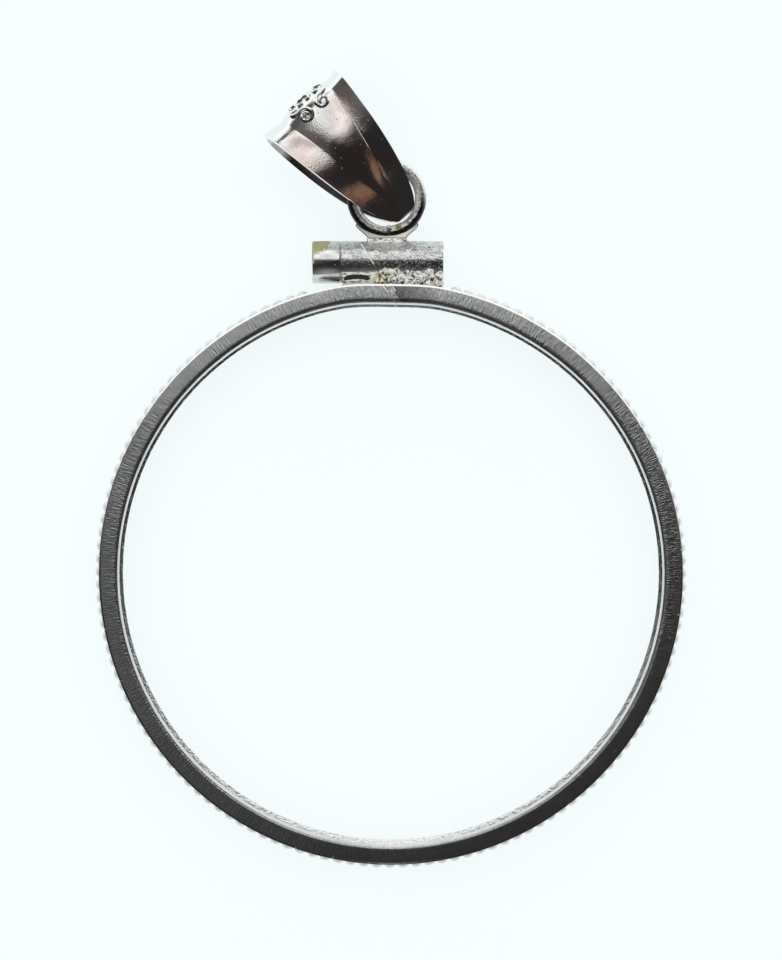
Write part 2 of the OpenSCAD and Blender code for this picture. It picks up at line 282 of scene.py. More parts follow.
def saw(bm, clamp):
    """The shape with the slanted saw cut through it, from the barrel's top to the window."""
    half, reach, tall = clamp.cut_width / MM / 2, 2.75, 3.5
    blade = along_cut((-half, -reach, -tall), (half, reach, tall))
    return worked(bm, "BOOLEAN", blade, operation="DIFFERENCE", solver="EXACT")


def bumpy(bm, size, height, seed, where=None):
    """Moves every vertex along its normal by noise of that feature size."""
    offset = Vector((seed * 7.3, seed * 3.1, seed * 5.7))
    bm.normal_update()
    moves = []
    for v in bm.verts:
        share = 1 if where is None else where(v.co)
        moves.append(v.normal * height * share * noise.fractal(v.co / size + offset, 1.0, 2.0, 3))
    for v, move in zip(bm.verts, moves):
        v.co += move


def eased(bm, offset):
    """Rounds every edge of a shape."""
    settings = {"segments": 3, "profile": 0.5, "affect": "EDGES", "material": -1}
    bmesh.ops.bevel(bm, geom=bm.edges[:], offset=offset, **settings)


def rim_round(obj, width, segments):
    """Rounds the sharp edges of a finished piece."""
    rim = obj.modifiers.new("rim", "BEVEL")
    rim.width, rim.segments = width, segments
    rim.limit_method, rim.angle_limit = "ANGLE", math.radians(60)


def piece(bm, name, part, material, sharp=40):
    """A finished piece: in metres, smooth but for its sharp edges, riding on its body."""
    body, node, slot = part
    bmesh.ops.scale(bm, vec=(MM, MM, MM), verts=bm.verts)
    for face in bm.faces:
        face.smooth = True
    for edge in bm.edges:
        edge.smooth = edge.calc_face_angle(0) < math.radians(sharp)
    mesh = bpy.data.meshes.new(name)
    bm.to_mesh(mesh)
    bm.free()
    obj = bpy.data.objects.new(name, mesh)
    bpy.context.scene.collection.objects.link(obj)
    for entry in material if isinstance(material, tuple) else (material,):
        mesh.materials.append(entry)
    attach(obj, body)
    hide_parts(node)
    return obj


# Finishes


def add(tree, kind, inputs=None, **settings):
    """Adds a shader node; an input takes a number, a colour, a socket, or a node for its first output."""
    made = tree.nodes.new("ShaderNode" + kind)
    for key, value in settings.items():
        setattr(made, key, value)
    for key, value in (inputs or {}).items():
        if isinstance(value, bpy.types.Node):
            value = next(socket for socket in value.outputs if socket.enabled)
        if isinstance(value, bpy.types.NodeSocket):
            tree.links.new(value, made.inputs[key])
        else:
            made.inputs[key].default_value = value
    return made


def rgba(value, share=1):
    """A colour property with full opacity, at that share of its brightness."""
    return (*(Vector(value) * share), 1.0)


def grey(level):
    """A neutral light of that brightness."""
    return (level, level, level, 1)


def per_mm(size):
    """Texture scale that gives features of that many millimetres on Object coordinates."""
    return 1 / (size * MM)


def silver_metal(name, roughness, peel, peel_height, pits, pit_height, tone=None, metallic=1.0):
    """Silver with the soft ripple that tumbling leaves and the small pits of wear.

    The numbers are its roughness, the size and height of the ripple, and the spacing and depth of the pits,
    in millimetres. Returns the material, its tree, the Object coordinates, the ripple and the shader.
    """
    material = bpy.data.materials.new(name)
    material.use_nodes = True
    tree = material.node_tree
    tree.nodes.clear()
    place = add(tree, "TexCoord").outputs["Object"]
    ripple = add(tree, "TexNoise", {"Vector": place, "Scale": per_mm(peel), "Detail": 3.0, "Roughness": 0.55})
    relief = add(tree, "Bump", {"Height": ripple, "Distance": peel_height * MM, "Strength": 1.0})
    cells = add(tree, "TexVoronoi", {"Vector": place, "Scale": per_mm(pits), "Randomness": 1.0})
    pit = add(tree, "MapRange", {"Value": cells, "From Min": 0.0, "From Max": 0.12}, **SMOOTH)
    sunk = {"Height": pit, "Distance": pit_height * MM, "Strength": 1.0, "Normal": relief}
    relief = add(tree, "Bump", sunk)
    shader = add(tree, "BsdfPrincipled", {"Normal": relief, "Metallic": metallic, "Roughness": roughness})
    if tone is not None:
        shader.inputs["Base Color"].default_value = tone
    add(tree, "OutputMaterial", {"Surface": shader})
    return material, tree, place, ripple, shader


def plain_silver(name, silver, roughness, share, metallic=1.0):
    """Silver of that share of its clean brightness, with a faint ripple: bright rim, melted solder."""
    return silver_metal(name, roughness, 0.3, 0.008, 0.4, 0.02, rgba(silver.silver, share), metallic)[0]


def milled_silver(silver):
    """The milled edge, worn matt and pale, so that its ridges stay soft against the paper."""
    return silver_metal("matt_milled_silver", 0.5, 0.2, 0.01, 0.3, 0.01, rgba(silver.silver), 0.55)[0]


def lip_silver(silver):
    """The same silver where the tool left it rough: the back lip breaks the light into beads."""
    return silver_metal("rough_turned_silver", 0.2, 0.22, 0.04, 0.3, 0.02, rgba(silver.silver))[0]


def tarnish(silver):
    """The yellow-green film, thick enough to hide the silver."""
    return silver_metal("olive_tarnish", 0.4, 0.1, 0.02, 0.3, 0.01, rgba(silver.olive), 0.7)[0]


def grime(name, shade, roughness=0.7):
    """Dark dirt that gathers in the seams, or black glossy crusting where it is smooth; also used for painted
    shade and shadow.
    """
    return silver_metal(name, roughness, 0.12, 0.02, 0.3, 0.01, rgba(shade), 0.2)[0]


def ring_silver(silver):
    """Sterling silver, tumbled: a dark mirror under a grey bloom and fine scratches across the rim."""
    material, tree, place, _, shader = silver_metal("tumbled_sterling_silver", 0.24, 0.16, 0.008, 0.55, 0.008)
    split = add(tree, "SeparateXYZ", {"Vector": place})
    # Scratches 0.6 mm long and 0.09 mm apart, on a ring of 19 mm radius
    turn = add(tree, "Math", {0: split.outputs["Y"], 1: split.outputs["X"]}, operation="ARCTAN2")
    reach = add(tree, "VectorMath", {0: place}, operation="LENGTH")
    across = add(tree, "Math", {0: reach, 1: per_mm(0.6)}, operation="MULTIPLY")
    along = add(tree, "Math", {0: turn, 1: 19 / 0.09}, operation="MULTIPLY")
    grid = add(tree, "CombineXYZ", {"X": along, "Y": across})
    scratch = add(tree, "TexNoise", {"Vector": grid, "Scale": 1.0, "Detail": 2.0})
    smooth = shader.inputs["Normal"].links[0].from_socket
    rub = add(tree, "Bump", {"Height": scratch, "Distance": 0.024 * MM, "Normal": smooth})
    tree.links.new(rub.outputs["Normal"], shader.inputs["Normal"])
    bloom = add(tree, "TexNoise", {"Vector": place, "Scale": per_mm(2.2), "Detail": 4.0})
    clean, bloomed = rgba(silver.silver), rgba(silver.ring_bloom)
    tone = add(tree, "Mix", {"Factor": bloom, "A": clean, "B": bloomed}, data_type="RGBA")
    # Painted shade on the right end of the ring, beside the cut: the black colour stands for that end's
    # slightly different tilt
    past = add(tree, "VectorMath", {0: place, 1: CUT_ACROSS}, operation="DOT_PRODUCT")
    stain = add(tree, "MapRange", {"Value": past, "From Min": 9.95 * MM, "From Max": 10.05 * MM})
    fade = add(tree, "MapRange", {"Value": split.outputs["X"], "From Min": 3.2 * MM, "From Max": 0.8 * MM})
    top = add(tree, "MapRange", {"Value": split.outputs["Y"], "From Min": 18.2 * MM, "From Max": 18.4 * MM})
    for share in (fade, top, 0.6):
        stain = add(tree, "Math", {0: stain, 1: share}, operation="MULTIPLY")
    tone = add(tree, "Mix", {"Factor": stain, "A": tone, "B": rgba(silver.oxide)}, data_type="RGBA")
    tree.links.new(tone.outputs["Result"], shader.inputs["Base Color"])
    return material


def inner_silver(silver):
    """The inside of the bail in painted shade, painted lighter and less mirror-like towards the flared end.
    """
    material, tree, place, _, shader = silver_metal("dull_inner_silver", 0.25, 0.3, 0.008, 0.4, 0.02)
    along = add(tree, "VectorMath", {0: place, 1: BAIL_WAY}, operation="DOT_PRODUCT")
    # Painted shade inside the bail, painted lighter towards the flared end
    bright = add(tree, "MapRange", {"Value": along, "From Min": 25.2 * MM, "From Max": 26.0 * MM})
    dull, clean = rgba(silver.silver, 0.3), rgba(silver.silver)
    tone = add(tree, "Mix", {"Factor": bright, "A": dull, "B": clean}, data_type="RGBA")
    tree.links.new(tone.outputs["Result"], shader.inputs["Base Color"])
    mirror = add(tree, "MapRange", {"Value": bright, "To Min": 1.0, "To Max": 0.3})
    tree.links.new(mirror.outputs["Result"], shader.inputs["Metallic"])
    return material


def barrel_silver(silver):
    """Drawn silver tube, handled: scratched and dented, with a rough, mottled strip along its upper side."""
    material, tree, place, _, shader = silver_metal("drawn_silver_tube", 0.16, 0.22, 0.01, 0.26, 0.05)
    bloom = add(tree, "TexNoise", {"Vector": place, "Scale": per_mm(0.9), "Detail": 5.0})
    clean, bloomed = rgba(silver.silver), rgba(silver.tube_bloom)
    tone = add(tree, "Mix", {"Factor": bloom, "A": clean, "B": bloomed}, data_type="RGBA")
    # Small dents, more of them in some places
    fine = add(tree, "TexNoise", {"Vector": place, "Scale": per_mm(0.13), "Detail": 3.0, "Roughness": 0.6})
    dent = add(tree, "MapRange", {"Value": fine, "From Min": 0.53, "From Max": 0.66})
    share = add(tree, "MapRange", {"Value": bloom, "From Min": 0.35, "From Max": 0.65})
    smooth = shader.inputs["Normal"].links[0].from_socket
    worn = add(tree, "Bump", {"Height": dent, "Distance": 0.016 * MM, "Strength": share, "Normal": smooth})
    tree.links.new(worn.outputs["Normal"], shader.inputs["Normal"])
    tone = worn_strip(tree, place, shader, tone, silver)
    tree.links.new(tone.outputs["Result"], shader.inputs["Base Color"])
    return material


def worn_strip(tree, place, shader, tone, silver):
    """Roughens a strip along the upper side of the barrel; returns the tone with its dark flecks."""
    split = add(tree, "SeparateXYZ", {"Vector": place})
    wave = add(tree, "TexNoise", {"Vector": place, "Scale": per_mm(0.7), "Detail": 5.0})
    high = add(tree, "Math", {0: wave, 1: 0.9 * MM, 2: split.outputs["Y"]}, operation="MULTIPLY_ADD")
    strip = add(tree, "MapRange", {"Value": high, "From Min": 22.2 * MM, "From Max": 22.4 * MM}, **SMOOTH)
    drawn = add(tree, "Mapping", {"Vector": place, "Scale": (0.55, 1, 1)})
    grain = add(tree, "TexNoise", {"Vector": drawn, "Scale": per_mm(0.17), "Detail": 6.0, "Roughness": 0.65})
    spots = add(tree, "MapRange", {"Value": grain, "From Min": 0.59, "From Max": 0.64})
    amount = add(tree, "Math", {0: spots, 1: strip}, operation="MULTIPLY")
    tone = add(tree, "Mix", {"Factor": amount, "A": tone, "B": rgba(silver.oxide)}, data_type="RGBA")
    depth = add(tree, "Math", {0: strip, 1: 0.06}, operation="MAXIMUM")
    smooth = shader.inputs["Normal"].links[0].from_socket
    rough = add(tree, "Bump", {"Height": grain, "Distance": 0.15 * MM, "Strength": depth, "Normal": smooth})
    tree.links.new(rough.outputs["Normal"], shader.inputs["Normal"])
    return tone


def wire_silver(silver):
    """Drawn silver wire, pitted by the torch, with a brown seam at the foot where the loop was closed."""
    material, tree, place, ripple, shader = silver_metal("pitted_silver_wire", 0.2, 0.18, 0.05, 0.3, 0.02)
    shader.inputs["Metallic"].default_value = 0.85
    split = add(tree, "SeparateXYZ", {"Vector": place})
    off = add(tree, "Math", {0: ripple, 1: 0.2 * MM, 2: split.outputs["X"]}, operation="MULTIPLY_ADD")
    off = add(tree, "Math", {0: off, 1: 0.05 * MM}, operation="ADD")
    off = add(tree, "Math", {0: off}, operation="ABSOLUTE")
    near = add(tree, "MapRange", {"Value": off, "From Min": 0.17 * MM, "From Max": 0.11 * MM})
    low = add(tree, "MapRange", {"Value": split.outputs["Y"], "From Min": 24 * MM, "From Max": 23.9 * MM})
    seam = add(tree, "Math", {0: near, 1: low}, operation="MULTIPLY")
    # Painted dark reflection: the flank away from the hole is darkened with the black colour, but for its
    # upper right
    out = add(tree, "VectorMath", {0: place, 1: Vector(LOOP_PLACE) * MM}, operation="SUBTRACT")
    far = add(tree, "VectorMath", {0: out}, operation="LENGTH")
    far = add(tree, "Math", {0: ripple, 1: 0.3 * MM, 2: far}, operation="MULTIPLY_ADD")
    rim = add(tree, "MapRange", {"Value": far, "From Min": 2.49 * MM, "From Max": 2.58 * MM}, **SMOOTH)
    slant = add(tree, "VectorMath", {0: out, 1: (-0.5, -0.87, 0)}, operation="DOT_PRODUCT")
    below = add(tree, "MapRange", {"Value": slant, "From Min": -2.1 * MM, "From Max": -0.6 * MM}, **SMOOTH)
    dark = add(tree, "Math", {0: rim, 1: below}, operation="MULTIPLY")
    clean, black = rgba(silver.silver), rgba(silver.oxide)
    tone = add(tree, "Mix", {"Factor": dark, "A": clean, "B": black}, data_type="RGBA")
    tone = add(tree, "Mix", {"Factor": seam, "A": tone, "B": rgba(silver.soot)}, data_type="RGBA")
    tree.links.new(tone.outputs["Result"], shader.inputs["Base Color"])
    return material


def solder_silver(silver):
    """Silver solder as it froze: whitish crumbs with brown between them, yellower round the saw cut."""
    material, tree, place, _, shader = silver_metal("frozen_silver_solder", 0.16, 0.2, 0.03, 0.3, 0.03)
    shader.inputs["Metallic"].default_value = 0.3
    split = add(tree, "SeparateXYZ", {"Vector": place})
    away = add(tree, "Math", {0: split.outputs["X"], 1: 0.7 * MM}, operation="ADD")
    away = add(tree, "Math", {0: away}, operation="ABSOLUTE")
    near = add(tree, "MapRange", {"Value": away, "From Min": 0.8 * MM, "From Max": 0.4 * MM}, **SMOOTH)
    stain = add(tree, "TexNoise", {"Vector": place, "Scale": per_mm(0.3), "Detail": 5.0})
    brown = add(tree, "MapRange", {"Value": stain, "From Min": 0.55, "From Max": 0.62}, **SMOOTH)
    sharp = add(tree, "NewGeometry").outputs["Pointiness"]
    hollow = add(tree, "MapRange", {"Value": sharp, "From Min": 0.5, "From Max": 0.46})
    tone = rgba(silver.solder)
    for share, shade in ((near, silver.straw), (brown, silver.soot), (hollow, silver.oxide)):
        tone = add(tree, "Mix", {"Factor": share, "A": tone, "B": rgba(shade)}, data_type="RGBA")
    tree.links.new(tone.outputs["Result"], shader.inputs["Base Color"])
    return material


def pickled_silver(name, silver, clear):
    """Solder left white and matt by the acid bath, with stain where its noise passes the clear share."""
    material, tree, place, _, shader = silver_metal(name, 0.45, 0.12, 0.02, 0.3, 0.01, metallic=0.0)
    drawn = add(tree, "Mapping", {"Vector": place, "Scale": (0.45, 1, 1)})
    stain = add(tree, "TexNoise", {"Vector": drawn, "Scale": per_mm(0.15), "Detail": 5.0, "Roughness": 0.65})
    amount = add(tree, "MapRange", {"Value": stain, "From Min": clear, "From Max": clear + 0.12})
    white, brown = rgba(silver.solder), rgba(silver.soot)
    tone = add(tree, "Mix", {"Factor": amount, "A": white, "B": brown}, data_type="RGBA")
    tree.links.new(tone.outputs["Result"], shader.inputs["Base Color"])
    return material


def screw_silver(silver):
    """Turned silver, polished, with a flat yellow-green tarnish patch at the head's upper left."""
    polish, film = {"Roughness": 0.14, "Metallic": 1.0}, {"Roughness": 0.65, "Metallic": 0.1}
    material, tree, place, _, shader = silver_metal(
        "turned_polished_silver", polish["Roughness"], 0.3, 0.005, 0.3, 0.04
    )
    split = add(tree, "SeparateXYZ", {"Vector": place})
    ragged = add(tree, "TexNoise", {"Vector": place, "Scale": per_mm(0.25), "Detail": 4.0})
    # Sides of the patch: direction into it and how far along that its border lies
    patch = 1.0
    for direction, border in (((0, 1, 0), 21.95), ((-1, 0, 0), 4.4), ((-0.73, 0.68, 0), 18.45)):
        along = add(tree, "VectorMath", {0: place, 1: direction}, operation="DOT_PRODUCT")
        edge = add(tree, "Math", {0: ragged, 1: 0.4 * MM, 2: along}, operation="MULTIPLY_ADD")
        inside = add(tree, "Math", {0: edge, 1: border * MM}, operation="GREATER_THAN")
        patch = add(tree, "Math", {0: inside, 1: patch}, operation="MULTIPLY")
    # The strip that runs down the head's end from it
    end = add(tree, "MapRange", {"Value": split.outputs["X"], "From Min": -5.2 * MM, "From Max": -5.26 * MM})
    high = add(tree, "MapRange", {"Value": split.outputs["Y"], "From Min": 20.9 * MM, "From Max": 21.1 * MM})
    strip = add(tree, "Math", {0: end, 1: high}, operation="MULTIPLY")
    amount = add(tree, "Math", {0: patch, 1: strip}, operation="MAXIMUM")
    tone = worn_strip(tree, place, shader, rgba(silver.silver), silver)
    tone = add(tree, "Mix", {"Factor": amount, "A": tone, "B": rgba(silver.olive)}, data_type="RGBA")
    tree.links.new(tone.outputs["Result"], shader.inputs["Base Color"])
    for key, bare in polish.items():
        mix = add(tree, "MapRange", {"Value": amount, "To Min": bare, "To Max": film[key]})
        tree.links.new(mix.outputs["Result"], shader.inputs[key])
    return material


def bail_silver(silver):
    """Stamped silver, highly polished, with a faint pinkish film that is partly painted warm reflection, and
    a speckle of wear in patches.
    """
    material, tree, place, _, shader = silver_metal("polished_silver_warm_film_and_reflection", 0.09, 0.5, 0.004, 0.42, 0.01)
    patches = add(tree, "TexNoise", {"Vector": place, "Scale": per_mm(2.5), "Detail": 3.0})
    film = add(tree, "MapRange", {"Value": patches, "From Min": 0.3, "From Max": 0.6}, **SMOOTH)
    # The pink film and painted warm reflection end before the flared end
    along = add(tree, "VectorMath", {0: place, 1: BAIL_WAY}, operation="DOT_PRODUCT")
    before = add(tree, "MapRange", {"Value": along, "From Min": 26.7 * MM, "From Max": 25.8 * MM})
    film = add(tree, "Math", {0: film, 1: before}, operation="MULTIPLY")
    clean, warm = rgba(silver.silver), rgba(silver.pink_silver)
    tone = add(tree, "Mix", {"Factor": film, "A": clean, "B": warm}, data_type="RGBA")
    tree.links.new(tone.outputs["Result"], shader.inputs["Base Color"])
    worn = add(tree, "TexNoise", {"Vector": place, "Scale": per_mm(1.6), "Detail": 3.0})
    share = add(tree, "MapRange", {"Value": worn, "From Min": 0.4, "From Max": 0.6})
    grain = add(tree, "TexNoise", {"Vector": place, "Scale": per_mm(0.09), "Detail": 2.0})
    smooth = shader.inputs["Normal"].links[0].from_socket
    rub = add(tree, "Bump", {"Height": grain, "Distance": 0.012 * MM, "Strength": share, "Normal": smooth})
    tree.links.new(rub.outputs["Normal"], shader.inputs["Normal"])
    return material


# Pieces


class BEZEL_OT_ring(bpy.types.Operator):
    """Builds the split ring with its two lips, and its milled edge"""

    bl_idname = "bezel.ring"
    bl_label = "Ring"

    chamfer_width, chamfer_depth = 0.13, 0.17  # outer edge at the front
    rough_z = 0.9  # how high the rough back lip reaches
    free_left, free_right = 16.5, 11  # degrees beside the top that have no ridges
    sunk, ridge_end = 0.12, 0.45  # how deep a ridge sits in the wall, and how long its round ends are
    press_turn, press_width, end_width = 60, 38, 11  # degrees: where the ring is pressed in, and how widely

    def execute(self, context):
        ring, silver = context.scene.bezel_ring, context.scene.bezel_silver
        wall, depth, seat = ring.wall_radius / MM, ring.depth / MM, ring.seat_radius / MM
        profile = turned(self.outline(ring), (0, 0, 0), (0, 0, 1), (1, 0, 0), 360)
        bm = saw(profile, context.scene.bezel_clamp)
        # The back lip's inner side is rough, and the chamfer at the front bright
        for face in bm.faces:
            middle = face.calc_center_median()
            reach = math.hypot(middle.x, middle.y)
            if middle.z < self.rough_z and reach < seat - 0.02:
                face.material_index = 1
            elif middle.z > depth - self.chamfer_depth - 0.01 and reach > wall - self.chamfer_width - 0.01:
                face.material_index = 2
        self.sprung(bm, ring)
        rim = plain_silver("bright_rim_silver", silver, 0.1, 1)
        finishes = (ring_silver(silver), lip_silver(silver), rim)
        piece(bm, "split_ring", FRAME, finishes)

        half, pitch = ring.ridge_length / MM / 2, 360 / ring.ridges
        count = int((360 - self.free_left - self.free_right) / pitch)
        bm = bmesh.new()
        bmesh.ops.create_uvsphere(bm, u_segments=12, v_segments=7, radius=1)
        across = 1.02 * math.pi * wall / ring.ridges
        height = ring.ridge_height / MM + self.sunk
        bmesh.ops.scale(bm, vec=(height, across, self.ridge_end), verts=bm.verts)
        for v in bm.verts:
            v.co.z += math.copysign(half - self.ridge_end, v.co.z)
        bmesh.ops.translate(bm, vec=(wall - self.sunk, 0, MID_Z), verts=bm.verts)
        start = math.radians(90 + self.free_left + pitch / 2)
        bmesh.ops.rotate(bm, cent=(0, 0, 0), matrix=Matrix.Rotation(start, 3, "Z"), verts=bm.verts)
        bmesh.ops.spin(
            bm,
            geom=bm.verts[:] + bm.edges[:] + bm.faces[:],
            cent=(0, 0, 0),
            axis=(0, 0, 1),
            angle=math.radians(pitch * (count - 1)),
            steps=count - 1,
            use_duplicate=True,
        )
        self.sprung(bm, ring)
        piece(bm, "milled_edge", FRAME, milled_silver(silver))
        return {"FINISHED"}

    def outline(self, ring):
        """Section of the ring: both lips, the coin's groove, the domed face and its chamfer."""
        wall, depth, fall = ring.wall_radius / MM, ring.depth / MM, ring.face_fall / MM
        front, back, seat = ring.front_window / MM, ring.back_window / MM, ring.seat_radius / MM
        lip = (depth - ring.seat_height / MM) / 2
        corners = [
            ((back, 0.0), 0.06),
            ((wall, 0.0), 0.13),
            ((wall, depth - self.chamfer_depth), 0.02),
            ((wall - self.chamfer_width, depth - fall), 0.03),
            ((front + 0.42, depth), 1.2),  # the dome starts to fall
            ((front + 0.17, depth), 0.3),  # worn edge of the window
            ((front, depth - 0.24), 0.05),
            ((front, depth - lip), 0.05),
            ((seat, depth - lip), 0.05),  # the groove
            ((seat, lip), 0.05),
            ((back + 0.36, lip), 0.03),  # slanted edge of the back lip
            ((back, lip - 0.25), 0.04),
        ]
        return rounded(corners)

    def sprung(self, bm, ring):
        """The ring a little out of round, as use has left it."""
        for v in bm.verts:
            turn = math.degrees(math.atan2(v.co.y, v.co.x))
            shift = ring.flat / MM * math.exp(-(((turn - self.press_turn) / self.press_width) ** 2))
            near_cut = 0.5 + 0.5 * math.cos(math.pi * min(1, abs(turn - 90) / self.end_width))
            shift += ring.dip / MM * near_cut
            v.co.xy *= 1 - shift / v.co.xy.length


class BEZEL_OT_clamp(bpy.types.Operator):
    """Builds the two knuckles of the clamp barrel, the solder, the foot plate and the wire loop"""

    bl_idname = "bezel.clamp"
    bl_label = "Clamp"

    foot_x, foot_half = -0.27, 1.36  # the foot plate's middle and half width
    foot_low, foot_top = 22.37, 22.72  # its lower and upper edge
    foot_half_deep = 0.6
    crescent_left, crescent_run = -3.22, 1.8  # where the painted shadow, a dark crescent under the left knuckle, starts, and its length
    crescent_y, crescent_bow, crescent_half = 19.93, 0.14, 0.16  # its ends, its bow and half its width

    def execute(self, context):
        clamp, silver = context.scene.bezel_clamp, context.scene.bezel_silver
        # White matt solder, also used as the painted highlight along the saw cut
        clean = pickled_silver("white_pickled_solder_and_painted_highlight", silver, 0.8)
        stained = pickled_silver("stained_pickled_solder", silver, 0.48)
        # The dark finishes serve seams and painted shade: the crescent under the left knuckle and the
        # fillet's outline
        grimy, crust = grime("seam_grime_and_painted_shade", silver.soot), grime("black_crust_and_painted_shadow", silver.oxide, 0.2)
        crumbs = solder_silver(silver)
        self.barrel(clamp, barrel_silver(silver), (clean, grimy))
        self.marks(clamp, clean)
        self.solder(clamp, (stained, crust), crumbs)
        self.foot((stained, grimy))
        self.loop(clamp, wire_silver(silver))
        self.fillet((plain_silver("melted_solder", silver, 0.35, 0.95, 0.5), grimy))
        self.beads(crumbs, tarnish(silver))
        return {"FINISHED"}

    def barrel(self, clamp, tube, burr):
        """The two knuckles, and a strip along the cut: a painted highlight of the cut's edge on its upper
        part, darker below.
        """
        radius, y = clamp.barrel_radius / MM, clamp.barrel_y / MM
        left, right = clamp.barrel_left / MM, clamp.barrel_right / MM
        bore, thread_bore, step = 0.86, 0.82, -1.25
        corners = [
            ((bore, left), 0.03),
            ((radius, left), 0.06),
            ((radius, right), 0.1),
            ((thread_bore, right), 0.05),
            ((thread_bore, step), 0),
            ((bore, step), 0),
        ]
        bm = turned(rounded(corners), (0, y, MID_Z), (1, 0, 0), (0, 1, 0), 96)
        obj = piece(saw(bm, clamp), "clamp_barrel", FRAME, tube)
        rim_round(obj, 0.06 * MM, 2)

        inner, outer, start, grime_y = radius - 0.1, radius + 0.02, left + 0.2, 20.95
        shell = [(inner, start), (outer, start), (outer, right), (inner, right)]
        bm = turned(shell, (0, y, MID_Z), (1, 0, 0), (0, 1, 0), 96)
        strip = along_cut((-0.07, -0.6, 0), (-0.01, 2.0, 2))  # just left of the cut
        bm = worked(bm, "BOOLEAN", strip, operation="INTERSECT", solver="EXACT")
        # Painted highlight: the strip's upper part takes the white matt finish; below that it is darker
        for face in bm.faces:
            face.material_index = 0 if face.calc_center_median().y > grime_y else 1
        piece(bm, "painted_highlight_cut_strip", FRAME, burr)

    def marks(self, clamp, finish):
        """Bright marks that pliers left on the barrel, and two scratches on the ring beside the cut."""
        radius, y, ring_z = clamp.barrel_radius / MM, clamp.barrel_y / MM, 3.445
        bm = bmesh.new()
        # Both ends of each, from above
        for ends in (
            ((-3.31, 21.87), (-3.17, 21.4)),
            ((-3.17, 21.4), (-2.84, 21.82)),
            ((0.92, 21.58), (1.39, 21.96)),
            ((1.06, 21.91), (1.3, 21.58)),
            ((3.47, 21.2), (3.47, 21.85)),
            ((-0.52, 19.38), (-0.18, 19.0)),
            ((0.12, 19.35), (0.29, 19.07)),
        ):
            if ends[0][1] > y - radius:
                low, high = (Vector((a, b, MID_Z + math.sqrt(radius**2 - (b - y) ** 2))) for a, b in ends)
                out, width, height = (low + high) / 2 - Vector(((low + high).x / 2, y, MID_Z)), 0.06, 0.04
            else:
                low, high = (Vector((a, b, ring_z)) for a, b in ends)
                out, width, height = Vector((0, 0, 1)), 0.05, 0.06
            run = high - low
            axes = Matrix((run.normalized(), out.cross(run).normalized(), out.normalized()))
            place = axes.transposed().to_4x4()
            place.translation = (low + high) / 2
            bmesh.ops.create_cube(bm, size=1, matrix=place @ Matrix.Diagonal((run.length, width, height, 1)))
        piece(bm, "plier_marks", FRAME, finish)

    def solder(self, clamp, smooth, crumbs):
        """A smooth trough of solder with a painted shadow, a dark crescent under the left knuckle left of the
        cut, and crumbs of it to the right.
        """
        left, run, low, floor = -3.3, 2.3, 19.44, 2.0
        # The trough's face, from the ring to the barrel: its first height, its rise and how that grows
        step, first, rise, growth = 0.02, 2.58, 0.007, 0.00006
        bm = bmesh.new()
        trough = [(low + step * i, first + rise * i + growth * i * i) for i in range(47)]
        verts = [bm.verts.new((left, y, z)) for y, z in [*trough, (trough[-1][0], floor), (low, floor)]]
        made = bmesh.ops.extrude_face_region(bm, geom=[bm.faces.new(verts)])["geom"]
        bmesh.ops.translate(bm, vec=(run, 0, 0), verts=[v for v in made if isinstance(v, bmesh.types.BMVert)])
        long_edges = [e for e in bm.edges if abs(e.verts[0].co.x - e.verts[1].co.x) > 1]
        bmesh.ops.subdivide_edges(bm, edges=long_edges, cuts=23)
        bmesh.ops.recalc_face_normals(bm, faces=bm.faces)
        for face in bm.faces:
            middle = face.calc_center_median()
            share = min(1, max(0, (middle.x - self.crescent_left) / self.crescent_run))
            swell = math.sin(math.pi * share)
            off = abs(middle.y - self.crescent_y - self.crescent_bow * swell)
            crescent = off < self.crescent_half * min(1, 3 * swell) ** 0.5
            # The crescent is painted shadow under the left knuckle; the trough's edge at the ring takes the
            # same black finish
            face.material_index = 1 if crescent or middle.y < low + 0.05 else 0
        piece(bm, "solder_trough", FRAME, smooth)

        bm = box((-1.1, 19.25, MID_Z - 1.3), (3.5, 20.55, MID_Z + 1.28))
        # Where the lumps on it lie: from where, and over what length, for each direction
        (x, x_run), (y, y_run), (z, z_run) = (-1, 4.4), (19.45, 1.05), (MID_Z + 1.08, 0.25)
        least, more = 0.1, 0.13  # radius of the smallest lump, and how much more the largest has
        for _ in range(clamp.lump_count):
            along, spread, size = (noise.random_vector() + Vector((1, 1, 1))) / 2
            spot = Vector((x + x_run * along, y + y_run * spread, z + z_run * size))
            blob = Matrix.Translation(spot) @ Matrix.Scale(least + more * size, 4)
            bmesh.ops.create_icosphere(bm, subdivisions=2, radius=1, matrix=blob)
        bm = worked(bm, "REMESH", mode="VOXEL", voxel_size=0.05)
        axes = {"use_axis_x": True, "use_axis_y": True, "use_axis_z": True}
        bmesh.ops.smooth_vert(bm, verts=bm.verts, factor=0.5, **axes)
        bumpy(bm, 0.25, 0.08, 1)
        piece(saw(bm, clamp), "barrel_solder", FRAME, crumbs)

    def foot(self, finishes):
        """The foot plate under the loop, stained on its face and darker at its two ends."""
        x, half, deep = self.foot_x, self.foot_half, self.foot_half_deep
        bm = box((x - half, self.foot_low, MID_Z - deep), (x + half, self.foot_top, MID_Z + deep))
        eased(bm, 0.07)
        for face in bm.faces:
            face.material_index = 1 if abs(face.normal.x) > 0.3 else 0
        piece(bm, "loop_foot", FRAME, finishes)

    def loop(self, clamp, finish):
        """The wire loop, pitted where the torch was."""
        wire, big = clamp.wire_radius / MM, clamp.loop_radius / MM
        turns = [a * math.tau / 24 for a in range(24)]
        circle = [(big + wire * math.cos(a), wire * math.sin(a)) for a in turns]
        bm = turned(circle, LOOP_PLACE, (0, 0, 1), (1, 0, 0), 192)
        bumpy(bm, 0.35, 0.02, 3, lambda place: min(1, max(0.15, 25.8 - place.y)))
        piece(bm, "wire_loop", FRAME, finish)

    def fillet(self, finishes):
        """Solder that flares from the foot plate to the loop, and thins towards it."""
